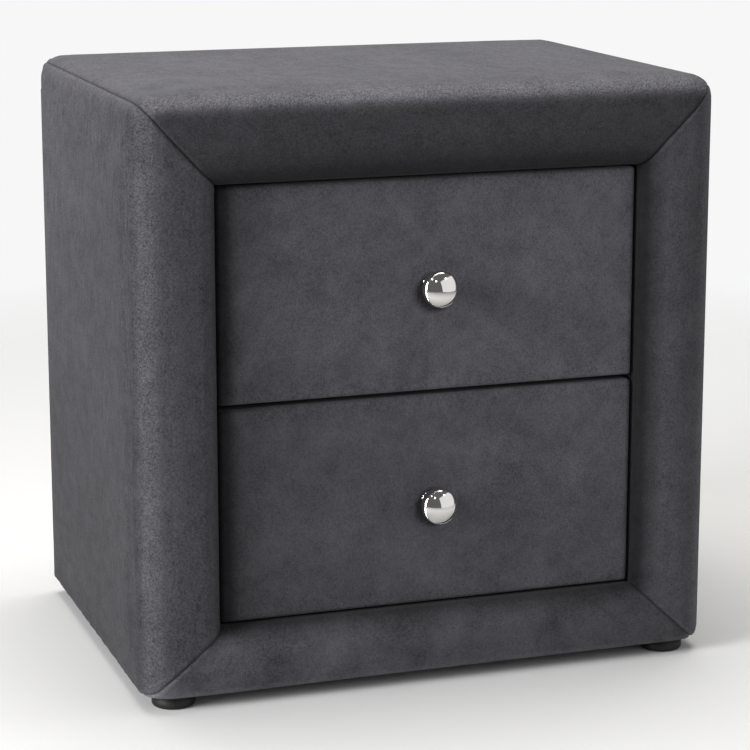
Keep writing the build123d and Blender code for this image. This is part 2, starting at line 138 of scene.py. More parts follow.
# each cover's axis across the frame, its edges, its outer rounding and the seams at its two ends
COVERS = {
    "top": {"axis": 2, "inner": OPENING_TOP, "outer": TOP, "radius": TOP_RADIUS,
            "ends": ("top_left", "top_right")},
    "bottom": {"axis": 2, "inner": OPENING_BOTTOM, "outer": BASE, "radius": BASE_RADIUS,
               "ends": ("bottom_left", "bottom_right")},
    "left": {"axis": 0, "inner": -OPENING_X, "outer": -HALF_WIDTH, "radius": UPRIGHT_RADIUS,
             "ends": ("bottom_left", "top_left")},
    "right": {"axis": 0, "inner": OPENING_X, "outer": HALF_WIDTH, "radius": UPRIGHT_RADIUS,
              "ends": ("bottom_right", "top_right")},
}
# How each cover's colour carries painted light and shade. "front": painted shade where it faces forward,
# reached between two slopes;
# "under": painted tone where it faces down; "crest": painted highlight where it bends from front to top;
# "gap": the stages at which the painted shade of the opening starts and stops fading, and how dark it is;
# "pebbles": how far the pile opens where it bends; "light": its tone as a whole;
# "fall": painted shade that grows darker to the right
COVER_SHADE_AND_PILE = {
    "top": {"front": 0.53, "slopes": (0.79, 0.995), "under": 0.55, "crest": 0.62, "gap": (1.1, 2.6, 0.14),
            "pebbles": 0.8, "light": 0.93, "fall": 0.0},
    "left": {"front": 0.75, "slopes": (0.88, 0.995), "under": 1, "crest": 0, "gap": (1, 2.1, 0.14),
             "pebbles": 0.9, "light": 1, "fall": 0.0},
    "right": {"front": 0.8, "slopes": (0.8, 0.98), "under": 1, "crest": 0, "gap": (1.4, 2.25, 0.11),
              "pebbles": 0.4, "light": 1, "fall": 0.0},
    "bottom": {"front": 0.85, "slopes": (0.5, 0.98), "under": 1.5, "crest": 0, "gap": (0.9, 2.2, 0.14),
               "pebbles": 0.2, "light": 0.94, "fall": 0.24},
}
DOWNWARD_FULL = 0.7            # slope at which the tone of what faces down is reached
# Painted light on the flanks: lighter to the rear and upwards, darker towards the floor
FLANK_LOW, FLANK_HIGH = 0.58, 0.80     # the flanks' tone at the front and at the upper rear
FLANK_HEIGHTS = (100 * MM, 300 * MM)   # the upper tone starts at this height and takes this much to come
FLANK_FOOT = 0.77              # the flanks' tone at the floor, against the tone above
FLANK_GAIN = 0.27              # added to it towards the top
FLANK_GAIN_HEIGHTS = (20 * MM, 460 * MM)
SIDE_ON = 0.75                 # slope from which a face counts as flank
OUTER_STAGE = 2.5              # stages past the middle of the face lie outside
PEBBLE_GAIN, PEBBLE_START = 2.6, 0.3   # how fast the pile opens with the bend, and from which bend

# Painted shadow of the left upright on the drawers beside it
DRAWER_GAP_SHADOW = 0.21         # the drawers' tone beside the left upright
DRAWER_GAP_START = 5 * MM
DRAWER_GAP_FADE = 14 * MM
# Painted light on the drawers: the upper one lighter than the lower, each lighter to the right and upwards
DRAWER_PAINTED_LIGHT = {"upper": 1.1, "lower": 0.9}
DRAWER_SIDE_LIGHT = 0.14        # lighter to the right
DRAWER_RISE_LIGHT = 0.03        # and upwards
# Painted contact shadow on the velvet, below and a little to the right of each knob
KNOB_SHADE = 0.8               # the contact shade round a knob
KNOB_SHADE_PLACE = (2.5 * MM, -7 * MM)
KNOB_SHADE_REACH = 18.5 * MM
KNOB_SHADE_FADE = 5 * MM

# steps in each stage of a cover: reveal, roll, face, outer rounding, flank, rear rounding, turned edge
FINE_STEPS = (5, 14, 34, 22, 120, 6, 6)
COARSE_STEPS = (2, 5, 9, 7, 62, 2, 4)
FACE_SHARE = (0.22, 0.78)      # parts of a mitre's length where the roll ends and the rounding starts


# ---- signed distances ----
def round_join(a, b, radius):
    """Distance to the rounded edge in which two half-spaces meet."""
    beyond = np.hypot(np.maximum(a + radius, 0), np.maximum(b + radius, 0))
    return np.minimum(np.maximum(a, b), -radius) + beyond


def cabinet_form(points):
    """Distance from the cabinet's padded surface, above zero outside it."""
    x, y, z = points[..., 0], points[..., 1], points[..., 2]
    body = round_join(np.abs(x) - HALF_WIDTH, FRONT - y, UPRIGHT_RADIUS)
    body = round_join(body, z - TOP, TOP_RADIUS)
    body = round_join(body, BASE - z, BASE_RADIUS)
    body = round_join(body, y - REAR, REAR_RADIUS)
    middle = (OPENING_TOP + OPENING_BOTTOM) / 2
    across = np.abs(x) - OPENING_X
    upward = np.abs(z - middle) - (OPENING_TOP - OPENING_BOTTOM) / 2
    hole = (across + upward + np.hypot(across - upward, CORNER_SOFTNESS)) / 2
    hole = hole - CORNER_SOFTNESS ** 2 / (4 * np.maximum(np.abs(across - upward), CORNER_SOFTNESS))
    return round_join(body, -hole, ROLL_RADIUS)


def drawer_form(low, high):
    """Distance function of one drawer front's padded surface, given its box."""
    middle = (low + high) / 2
    half = (high - low) / 2

    def distance(points):
        across = np.abs(points[..., 0] - middle.x) - half.x
        upward = np.abs(points[..., 2] - middle.z) - half.z
        outline = round_join(across, upward, DRAWER_CORNER_RADIUS)
        front = round_join(outline, low.y - points[..., 1], DRAWER_RIM_RADIUS)
        return np.maximum(front, points[..., 1] - high.y)

    return distance


def slope(points, form):
    """Direction in which the distance grows fastest, with its rate."""
    parts = []
    for axis in range(3):
        shift = np.zeros(3)
        shift[axis] = SURFACE_STEP
        parts.append((form(points + shift) - form(points - shift)) / (2 * SURFACE_STEP))
    return np.stack(parts, -1)


def moved_back(points, form, distances):
    """Points moved down the form's slope by a distance each."""
    gradient = slope(points, form)
    size = np.maximum((gradient ** 2).sum(-1, keepdims=True), LEAST_SLOPE)
    return points - distances[..., None] * gradient / size


def settle(points, form, rounds=14):
    """Points moved onto the form's surface."""
    for _ in range(rounds):
        points = moved_back(points, form, form(points))
    return points


def outward(points, form):
    """Unit normals of the form's surface."""
    gradient = slope(points, form)
    return gradient / np.linalg.norm(gradient, axis=-1, keepdims=True)


# ---- the cabinet's covers ----
def stage_values(steps):
    """Places along a cover from 0 to 7, one unit a stage."""
    values = [stage + np.arange(count) / count for stage, count in enumerate(steps)]
    return np.append(np.concatenate(values), len(steps))


def stage_share(values, stage):
    """How much of one stage lies before each place."""
    return np.clip(values - stage, 0, 1)


def eased(value):
    """Smooth step of a value that is clamped to 0 and 1."""
    value = np.clip(value, 0, 1)
    return value * value * (3 - 2 * value)


def depth_along(values, radius):
    """Depth of each place along a cover or seam, with the given outer rounding."""
    depth = FRAME_BACK + stage_share(values, 0) * (FRONT + ROLL_RADIUS - FRAME_BACK)
    depth = depth - ROLL_RADIUS * np.sin(stage_share(values, 1) * QUARTER)
    depth = depth + radius * (1 - np.cos(stage_share(values, 3) * QUARTER))
    depth = depth + stage_share(values, 4) * (REAR - REAR_RADIUS - FRONT - radius)
    return depth + REAR_RADIUS * np.sin(stage_share(values, 5) * QUARTER)


def turned_in(values):
    """How far each place lies in from the outline, where the velvet is turned onto the back."""
    inward = REAR_RADIUS * (1 - np.cos(stage_share(values, 5) * QUARTER))
    return inward + stage_share(values, 6) * (BACK_TURN - REAR_RADIUS)


def profile(side, values):
    """A cover's middle line: depth, and place across the frame."""
    cover = COVERS[side]
    inner, outer, radius = cover["inner"], cover["outer"], cover["radius"]
    face = abs(outer - inner) - ROLL_RADIUS - radius
    place = ROLL_RADIUS * (1 - np.cos(stage_share(values, 1) * QUARTER))
    place = place + stage_share(values, 2) * face + radius * np.sin(stage_share(values, 3) * QUARTER)
    place = place - turned_in(values)
    return depth_along(values, radius), inner + math.copysign(1, outer - inner) * place


def seam_line(corner, values):
    """The seam from one corner of the opening to the cabinet's back, on the padded surface."""
    seam = SEAMS[corner]
    vertical, horizontal = corner.split("_")
    start = np.array([COVERS[horizontal]["inner"], COVERS[vertical]["inner"]])
    end = np.array(seam["end"])
    roll_share, face_share = FACE_SHARE
    along = roll_share * (1 - np.cos(stage_share(values, 1) * QUARTER))
    along = along + (face_share - roll_share) * stage_share(values, 2)
    along = along + (1 - face_share) * np.sin(stage_share(values, 3) * QUARTER)
    flat = start + along[:, None] * (end - start)
    flat[:, 1] -= seam["sag"] * np.sin(np.pi * along ** 0.7)
    drift = eased(stage_share(values, 4) / SEAM_DRIFT_SHARE)
    flat += drift[:, None] * np.array(seam["drift"])
    flat -= turned_in(values)[:, None] * np.sign(end - start)
    radius = (COVERS[vertical]["radius"] + COVERS[horizontal]["radius"]) / 2
    depth = depth_along(values, radius)
    return settle(np.stack([flat[:, 0], depth, flat[:, 1]], -1), cabinet_form)


def spread(length, finest, coarsest):
    """Places from 0 to 1 along a length, finest near both ends and coarsest in the middle."""
    reach, gap, places = 0, finest, [0]
    while reach + gap < length / 2:
        reach += gap
        places.append(reach)
        gap = min(gap * MESH_GROWTH, coarsest)
    half = np.array(places) / (2 * places[-1] + coarsest)
    return np.concatenate([half, 1 - half[::-1]])


def sheet(side, across, values):
    """Grid of points of one cover on the padded surface: rows run along the frame, one for each value."""
    cover = COVERS[side]
    run = 2 - cover["axis"]
    depth, place = profile(side, values)
    first, second = (seam_line(corner, values) for corner in cover["ends"])
    share = across[None, :]
    along = first[:, run, None] * (1 - share) + second[:, run, None] * share
    near_first = np.exp(-((along - first[:, run, None]) / MITRE_REACH) ** 2 * 4)
    near_second = np.exp(-((along - second[:, run, None]) / MITRE_REACH) ** 2 * 4)
    points = np.empty(along.shape + (3,))
    points[..., run] = along
    for axis, middle in ((1, depth), (cover["axis"], place)):
        bend_first = near_first * (first[:, axis] - middle)[:, None]
        bend_second = near_second * (second[:, axis] - middle)[:, None]
        points[..., axis] = middle[:, None] + bend_first + bend_second
    points = settle(points, cabinet_form)
    points[:, 0], points[:, -1] = first, second
    return points


def grid_mesh(name, points):
    """Mesh of a grid of points."""
    rows, columns = points.shape[:2]
    index = np.arange(rows * columns).reshape(rows, columns)
    corners = (index[:-1, :-1], index[:-1, 1:], index[1:, 1:], index[1:, :-1])
    faces = np.stack([c.ravel() for c in corners], -1)
    mesh = bpy.data.meshes.new(name)
    mesh.from_pydata(points.reshape(-1, 3).tolist(), [], faces.tolist())
    mesh.update()
    return mesh


def linked(name, mesh):
    """New object in the scene."""
    piece = bpy.data.objects.new(name, mesh)
    bpy.context.scene.collection.objects.link(piece)
    return piece


def swell(points, normals, pinned, most):
    """How far a tight cover stands off its form, from a cloth simulation with foam pressing from below."""
    piece = linked("cloth_trial", grid_mesh("cloth_trial", points))
    facing = np.array([p.normal for p in piece.data.polygons]).mean(0)
    direction = 1 if facing @ normals.reshape(-1, 3).mean(0) > 0 else -1
    group = piece.vertex_groups.new(name="pinned")
    group.add(np.flatnonzero(pinned.ravel()).tolist(), 1, "REPLACE")
    cloth = piece.modifiers.new("cloth", "CLOTH")
    cloth.settings.quality = 6
    cloth.settings.mass = 0.2
    cloth.settings.air_damping = 4
    cloth.settings.tension_stiffness = 20
    cloth.settings.compression_stiffness = 20
    cloth.settings.shear_stiffness = 8
    cloth.settings.bending_stiffness = 4
    cloth.settings.use_pressure = True
    cloth.settings.uniform_pressure_force = CLOTH_PRESSURE * direction
    cloth.settings.vertex_group_mass = "pinned"
    cloth.settings.effector_weights.gravity = 0
    cloth.collision_settings.use_collision = False
    cloth.point_cache.frame_start = 1
    cloth.point_cache.frame_end = CLOTH_FRAMES
    scene = bpy.context.scene
    for number in range(1, CLOTH_FRAMES + 1):
        scene.frame_set(number)
    posed = piece.evaluated_get(bpy.context.evaluated_depsgraph_get())
    moved = np.array([v.co for v in posed.data.vertices]).reshape(points.shape)
    scene.frame_set(1)
    mesh = piece.data
    bpy.data.objects.remove(piece)
    bpy.data.meshes.remove(mesh)
    height = ((moved - points) * normals).sum(-1)
    height = most * np.tanh(np.maximum(height, 0) / most)
    for _ in range(CLOTH_SMOOTHINGS):
        padded = np.pad(height, 1, mode="edge")
        around = padded[:-2, 1:-1] + padded[2:, 1:-1] + padded[1:-1, :-2] + padded[1:-1, 2:]
        height = np.where(pinned, height, height / 2 + around / 8)
    return height


def stretched(coarse, rows, columns, fine_rows, fine_columns):
    """A coarse grid of heights read at the places of a finer grid."""
    along = np.array([np.interp(fine_columns, columns, row) for row in coarse])
    return np.array([np.interp(fine_rows, rows, column) for column in along.T]).T


def soft_noise(places, length, seed):
    """Smooth random values from -1 to 1 along a line."""
    chance = np.random.default_rng(seed)
    count = int(places.max() / length) + 4
    knots = chance.uniform(-1, 1, count)
    at = places / length
    low = at.astype(int)
    part = eased(at - low)
    return knots[low] * (1 - part) + knots[low + 1] * part


def beside_seam(flat, line):
    """How far along a seam each point's nearest place on it lies, and how far off the point is."""
    lengths = np.append(0, np.cumsum(np.linalg.norm(np.diff(line, axis=0), axis=1)))
    places = np.arange(0, lengths[-1], SEAM_SAMPLE)
    samples = np.stack([np.interp(places, lengths, line[:, axis]) for axis in range(3)], -1)
    tree = KDTree(len(samples))
    for index, sample in enumerate(samples):
        tree.insert(sample, index)
    tree.balance()
    nearest = np.array([tree.find(point)[1:] for point in flat])
    return places[nearest[:, 0].astype(int)], nearest[:, 1]


def seam_relief(points, lines, darks, seed):
    """Valley, ridge and puckers beside the seams, along each normal, and the painted shade of the valleys.
    """
    relief = np.zeros(points.shape[:2])
    light = np.ones(points.shape[:2])
    for number, line in enumerate(lines):
        at, gap = beside_seam(points.reshape(-1, 3), line)
        depth = SEAM_DEPTH * (1 + 0.15 * soft_noise(at, 3 * PUCKER_LENGTH, seed + number))
        depth *= 1 - SEAM_FADE * eased((at - SEAM_FADE_START) / SEAM_FADE_LENGTH)
        ridge = SEAM_RIDGE * (1 + 0.4 * soft_noise(at, 2 * PUCKER_LENGTH, seed + number + 10))
        pucker = PUCKER * soft_noise(at + 0.4 * gap, PUCKER_LENGTH, seed + number + 20)
        move = -depth * np.exp(-(gap / SEAM_WIDTH) ** 2)
        move += ridge * np.exp(-((gap - SEAM_RIDGE_PLACE) / SEAM_RIDGE_WIDTH) ** 2)
        move += pucker * np.exp(-(gap / PUCKER_REACH) ** 2) * (1 - np.exp(-(gap / SEAM_WIDTH) ** 2))
        relief += move.reshape(relief.shape)
        # painted shade along the seam's valley
        light *= 1 - darks[number] * np.exp(-(gap / SEAM_SHADE_WIDTH) ** 2).reshape(relief.shape)
    return relief, light


def finish_cloth(piece, material, shade, bend):
    """Thickness, smooth shading and material of one velvet piece.

    shade is painted light and shade: darker where the velvet faces away from the light or lies deep in a
    gap, lighter where the light falls on it; bend is where the velvet is pulled over an edge and its pile
    opens into pebbles.
    """
    piece.data.attributes.new("shade", "FLOAT", "POINT").data.foreach_set("value", shade.ravel())
    piece.data.attributes.new("bend", "FLOAT", "POINT").data.foreach_set("value", bend.ravel())
    piece.data.materials.append(material)
    for polygon in piece.data.polygons:
        polygon.use_smooth = True
    thickness = piece.modifiers.new("thickness", "SOLIDIFY")
    thickness.thickness = COVER_THICKNESS
    thickness.offset = -1


def turn_outwards(mesh, normals):
    """Flips a mesh whose faces point into the form."""
    facing = np.array([p.normal for p in mesh.polygons]).mean(0)
    centre = normals.reshape(-1, 3).mean(0)
    if facing @ centre < 0:
        mesh.flip_normals()


def painted_cover_shade(points, normals, rows, look):
    """Painted light and shade of a cover by where it faces, how it bends and how deep it lies in the
    opening.
    """
    side_on, forward, upward = np.abs(normals[..., 0]), -normals[..., 1], normals[..., 2]
    low, high = look["slopes"]
    # painted shade where the cover faces forward and painted tone where it faces down
    shade = 1 - (1 - look["front"]) * eased((forward - low) / (high - low))
    shade *= 1 - (1 - look["under"]) * eased(-upward / DOWNWARD_FULL)
    # painted highlight on the bend from front to top
    shade *= 1 + look["crest"] * (2 * np.clip(upward, 0, 1) * np.clip(forward, 0, 1)) ** 2
    # painted light on the flanks
    flank = flank_painted_light(points)
    shade *= 1 - (1 - flank) * eased((side_on - SIDE_ON) / (1 - SIDE_ON)) * (rows > OUTER_STAGE)[:, None]
    # painted shade, darker to the right
    shade *= 1 - look["fall"] * points[..., 0] / HALF_WIDTH
    # painted shade deep in the opening
    start, end, darkest = look["gap"]
    return shade * (darkest + (1 - darkest) * eased((rows - start) / (end - start)))[:, None]


def flank_painted_light(points):
    """Painted light on the flanks: lighter to the rear and upwards."""
    rearward = (points[..., 1] - FRONT) / (REAR - FRONT)
    start, rise = FLANK_HEIGHTS
    flank = FLANK_LOW + (FLANK_HIGH - FLANK_LOW) * eased(rearward) * eased((points[..., 2] - start) / rise)
    start, rise = FLANK_GAIN_HEIGHTS
    return flank * (FLANK_FOOT + FLANK_GAIN * eased((points[..., 2] - start) / rise))


def pile_bend(normals, rows, look):
    """How far the pile opens where the velvet is pulled over an edge."""
    bent = np.abs(normals[..., 1]) * np.hypot(normals[..., 0], normals[..., 2])
    opened = look["pebbles"] * eased(PEBBLE_GAIN * bent - PEBBLE_START)
    return opened * (rows > OUTER_STAGE)[:, None]


def make_cover(side, seed):
    """One of the cabinet's four velvet covers."""
    length = 2 * HALF_WIDTH if COVERS[side]["axis"] == 2 else TOP - BASE
    rough_columns = np.linspace(0, 1, round(length / CABINET_CLOTH_CELL) + 1)
    rough_rows = stage_values(COARSE_STEPS)
    rough = sheet(side, rough_columns, rough_rows)
    held = np.zeros(rough.shape[:2], bool)
    held[:, 0] = held[:, -1] = True
    held[(rough_rows <= CLOTH_HELD[0]) | (rough_rows >= CLOTH_HELD[1])] = True
    height = swell(rough, outward(rough, cabinet_form), held, CABINET_SWELL)
    columns = spread(length, *CABINET_MESH_CELLS)
    rows = stage_values(FINE_STEPS)
    points = sheet(side, columns, rows)
    normals = outward(points, cabinet_form)
    lines = [seam_line(corner, rows) for corner in COVERS[side]["ends"]]
    darks = [SEAMS[corner]["dark"] for corner in COVERS[side]["ends"]]
    relief, light = seam_relief(points, lines, darks, seed)
    height = stretched(height, rough_rows, rough_columns, rows, columns) + relief
    mesh = grid_mesh(f"{side}_velvet", points + normals * height[..., None])
    turn_outwards(mesh, normals)
    piece = linked(f"{side}_velvet", mesh)
    look = COVER_SHADE_AND_PILE[side]
    # painted light and shade: the seams' painted valley shade times the cover's painted shade
    shade = look["light"] * light * painted_cover_shade(points, normals, rows, look)
    finish_cloth(piece, velvets[side], shade, pile_bend(normals, rows, look))
    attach(piece, "cabinet")
    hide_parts(f"{side}_cover")


def make_foam(node, body, form):
    """The foam pad under a cover: the CAD pad, drawn in where its edges would stand through the velvet."""
    trial = linked("foam_trial", frame["nodes"][node].data.copy())
    trial.data.materials.clear()
    remesh = trial.modifiers.new("remesh", "REMESH")
    remesh.mode = "VOXEL"
    remesh.voxel_size = FOAM_CELL
    remeshed = trial.evaluated_get(bpy.context.evaluated_depsgraph_get())
    mesh = bpy.data.meshes.new_from_object(remeshed)
    bpy.data.objects.remove(trial)
    points = np.empty(3 * len(mesh.vertices))
    mesh.vertices.foreach_get("co", points)
    points = points.reshape(-1, 3)
    for _ in range(FOAM_ROUNDS):
        points = moved_back(points, form, np.maximum(form(points) + FOAM_GAP, 0))
    mesh.vertices.foreach_set("co", points.ravel())
    mesh.materials.append(CARRIED_OVER["foam"])
    mesh.update()
    piece = linked(f"{node}_pad", mesh)
    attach(piece, body)
    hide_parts(node)


# ---- drawer fronts ----
def box_grid(edges):
    """Points and faces of a box surface over three lists of places, with a turned edge at its back."""
    xs, ys, zs = edges
    index, points, faces = {}, [], []

    def vertex(i, j, k):
        key = (i, j, k)
        if key not in index:
            index[key] = len(points)
            points.append((xs[i], ys[j], zs[k]))
        return index[key]

    def quad(*corners):
        faces.append([vertex(*corner) for corner in corners])

    right, back, top = len(xs) - 1, len(ys) - 1, len(zs) - 1
    for i in range(right):
        for k in range(top):
            quad((i, 0, k), (i + 1, 0, k), (i + 1, 0, k + 1), (i, 0, k + 1))
            edge_x = min(xs[i + 1] - xs[0], xs[-1] - xs[i])
            edge_z = min(zs[k + 1] - zs[0], zs[-1] - zs[k])
            if min(edge_x, edge_z) <= DRAWER_TURN:
                quad((i, back, k), (i, back, k + 1), (i + 1, back, k + 1), (i + 1, back, k))
    for j in range(back):
        for i in range(right):
            quad((i, j, 0), (i, j + 1, 0), (i + 1, j + 1, 0), (i + 1, j, 0))
            quad((i, j, top), (i + 1, j, top), (i + 1, j + 1, top), (i, j + 1, top))
        for k in range(top):
            quad((0, j, k), (0, j, k + 1), (0, j + 1, k + 1), (0, j + 1, k))
            quad((right, j, k), (right, j + 1, k), (right, j + 1, k + 1), (right, j, k + 1))
    return np.array(points), faces


def drawer_swell(low, high, knob_z):
    """Heights of the velvet over one drawer's foam: the grid's places across and up, and its heights."""
    across = np.linspace(low.x, high.x, round((high.x - low.x) / DRAWER_CLOTH_CELL) + 1)
    up = np.linspace(low.z, high.z, round((high.z - low.z) / DRAWER_CLOTH_CELL) + 1)
    mesh_z, mesh_x = np.meshgrid(up, across, indexing="ij")
    flat = np.stack([mesh_x, np.full_like(mesh_x, low.y), mesh_z], -1)
    held = np.zeros(flat.shape[:2], bool)
    held[:, 0] = held[:, -1] = held[0] = held[-1] = True
    held |= np.hypot(mesh_x, mesh_z - knob_z) < KNOB_HELD
    normals = np.zeros(flat.shape)
    normals[..., 1] = -1
    return across, up, swell(flat, normals, held, DRAWER_SWELL)


def read_grid(across, up, height, points):
    """A grid of heights read at each point, between the grid's lines."""
    rows = np.interp(points[:, 2], up, np.arange(len(up)))
    columns = np.interp(points[:, 0], across, np.arange(len(across)))
    row = np.minimum(rows.astype(int), len(up) - 2)
    column = np.minimum(columns.astype(int), len(across) - 2)
    part_row, part_column = rows - row, columns - column
    lower = height[row, column] * (1 - part_column) + height[row, column + 1] * part_column
    upper = height[row + 1, column] * (1 - part_column) + height[row + 1, column + 1] * part_column
    return lower * (1 - part_row) + upper * part_row


def drawer_lift(points, normals, box, knob_z, seed):
    """How far one drawer's velvet stands off its form: swelled and rippled, flat at rim and knob."""
    low, high = box
    lift = read_grid(*drawer_swell(low, high, knob_z), points)
    wave = soft_noise(points[:, 0] - low.x, RIPPLE_LENGTHS[0], seed)
    wave = wave * soft_noise(points[:, 2] - low.z, RIPPLE_LENGTHS[1], seed + 1)
    lift += DRAWER_RIPPLE * wave
    facing = np.clip(-normals[:, 1], 0, 1) ** 2
    rim = np.minimum.reduce([points[:, 0] - low.x, high.x - points[:, 0],
                             points[:, 2] - low.z, high.z - points[:, 2]])
    lift *= facing * np.clip(rim / DRAWER_RIM_FADE, 0, 1)
    lift *= eased((np.hypot(points[:, 0], points[:, 2] - knob_z) - DIMPLE_FLOOR) / DIMPLE_SLOPE)
    return lift


def drawer_shade(points, box, knob_z, tone):
    """Painted light and shade of one drawer: a painted shadow beside the left upright and round its knob,
    painted light to the right and upwards.
    """
    low, high = box
    # painted shadow beside the left upright
    beside = (points[:, 0] - low.x - DRAWER_GAP_START) / DRAWER_GAP_FADE
    shade = DRAWER_GAP_SHADOW + (1 - DRAWER_GAP_SHADOW) * eased(beside)
    # painted light: lighter to the right and upwards, and on the upper drawer
    rise = (points[:, 2] - knob_z) / (high.z - low.z)
    shade *= tone + DRAWER_SIDE_LIGHT * points[:, 0] / high.x + DRAWER_RISE_LIGHT * rise
    # painted contact shadow of the knob
    shade_x, shade_z = KNOB_SHADE_PLACE
    gap = np.hypot(points[:, 0] - shade_x, points[:, 2] - knob_z - shade_z)
    return shade * (1 - KNOB_SHADE * eased((KNOB_SHADE_REACH - gap) / KNOB_SHADE_FADE))


def make_drawer_cover(prefix, tone, seed):
    """The padded velvet front of one drawer, dimpled where the knob is screwed down."""
    low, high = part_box(f"{prefix}_drawer_cover")
    knob_low, knob_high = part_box(f"{prefix}_knob")
    knob_z = (knob_low.z + knob_high.z) / 2
    form = drawer_form(low, high)
    xs = low.x + (high.x - low.x) * spread(high.x - low.x, *DRAWER_MESH_CELLS)
    zs = low.z + (high.z - low.z) * spread(high.z - low.z, *DRAWER_MESH_CELLS)
    ys = np.linspace(low.y, high.y, DRAWER_DEPTH_STEPS)
    points, faces = box_grid((xs, ys, zs))
    points = settle(points, form)
    normals = outward(points, form)
    points = points + normals * drawer_lift(points, normals, (low, high), knob_z, seed)[:, None]
    mesh = bpy.data.meshes.new(f"{prefix}_drawer_velvet")
    mesh.from_pydata(points.tolist(), [], faces)
    mesh.update()
    piece = linked(f"{prefix}_drawer_velvet", mesh)
    shade = drawer_shade(points, (low, high), knob_z, tone)
    finish_cloth(piece, velvets["drawer"], shade, np.zeros(len(points)))
    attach(piece, f"{prefix}_drawer")
    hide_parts(f"{prefix}_drawer_cover")


# ---- turned parts ----
def turned(name, outline, steps, centre, axis_turn, material):
    """Surface of revolution: outline is (radius, height) pairs from one end of its axis to the other."""
    points, faces = [], []
    for radius, height in outline:
        for step in range(steps):
            angle = 2 * math.pi * step / steps
            points.append((radius * math.cos(angle), radius * math.sin(angle), height))
    for ring in range(len(outline) - 1):
        for step in range(steps):
            following = (step + 1) % steps
            faces.append([ring * steps + step, ring * steps + following,
                          (ring + 1) * steps + following, (ring + 1) * steps + step])
    faces.append(list(range(steps))[::-1])
    faces.append([(len(outline) - 1) * steps + step for step in range(steps)])
    mesh = bpy.data.meshes.new(name)
    mesh.from_pydata(points, [], faces)
    mesh.transform(Matrix.Translation(centre) @ axis_turn)
    mesh.update()
    for polygon in mesh.polygons:
        polygon.use_smooth = len(polygon.vertices) == 4
    mesh.materials.append(material)
    return linked(name, mesh)


def arc(centre, radius, start, end, steps):
    """(radius, height) points on an arc, angles in degrees."""
    made = []
    for step in range(steps + 1):
        angle = math.radians(start + (end - start) * step / steps)
        made.append((centre[0] + radius * math.cos(angle), centre[1] + radius * math.sin(angle)))
    return made


def make_knob(prefix):
    """Polished knob: flange with a soft edge, waisted neck, long back and a flatter domed face."""
    low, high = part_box(f"{prefix}_knob")
    ball = (high.x - low.x) / 2
    reach = high.y - low.y
    bore, flange, thick = 2.1 * MM, 8 * MM, 2 * MM
    neck, edge, waist = 5.5 * MM, 0.6 * MM, 1.2 * MM
    dome, shoulder = 19.6 * MM, 44.5
    outline = [(bore, 0), (flange, 0)]
    outline += arc((flange - edge, thick - edge), edge, 0, 90, 6)
    outline += arc((neck + waist, thick + waist), waist, 270, 180, 6)
    half_face = math.radians(90 - shoulder)
    rim = (ball - dome * math.sin(half_face)) / (1 - math.sin(half_face))
    widest = reach - dome * (1 - math.cos(half_face)) - rim * math.cos(half_face)
    back_length, back_steps = 19 * MM, 25
    for step in range(back_steps):
        angle = math.acos(neck / ball) * (1 - step / back_steps)
        outline.append((ball * math.cos(angle), widest - back_length * math.sin(angle)))
    outline += arc((ball - rim, widest), rim, 0, shoulder, 12)
    outline += arc((0, reach - dome), dome, shoulder, 89.5, 30)
    centre = Vector(((low.x + high.x) / 2, high.y, (low.z + high.z) / 2))
    piece = turned(f"{prefix}_ball_knob", outline, 96, centre, Matrix.Rotation(QUARTER, 4, "X"), chrome)
    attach(piece, f"{prefix}_drawer")
    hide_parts(f"{prefix}_knob")


def make_foot(name):
    """Low moulded glide: rounded lower edge, a shallow groove under its collar, screw recess."""
    low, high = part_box(name)
    radius = (high.x - low.x) / 2
    height = high.z - low.z
    recess, recess_depth, hole = 5 * MM, 4 * MM, 2.3 * MM
    edge, groove, bevel = 2.5 * MM, 0.5 * MM, 0.3 * MM
    outline = [(hole, height), (hole, recess_depth), (recess, recess_depth), (recess, bevel)]
    outline += [(recess + bevel, 0), (radius - edge, 0)]
    outline += arc((radius - edge, edge), edge, -90, 0, 8)
    outline += [(radius, height - 3 * MM), (radius - groove, height - 2.7 * MM)]
    outline += [(radius - groove, height - 2.2 * MM), (radius, height - 1.9 * MM)]
    outline += [(radius, height), (hole, height)]
    centre = Vector(((low.x + high.x) / 2, (low.y + high.y) / 2, low.z))
    piece = turned(f"{name}_glide", outline, 72, centre, Matrix.Identity(4), foot_plastic)
    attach(piece, "cabinet")
    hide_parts(name)


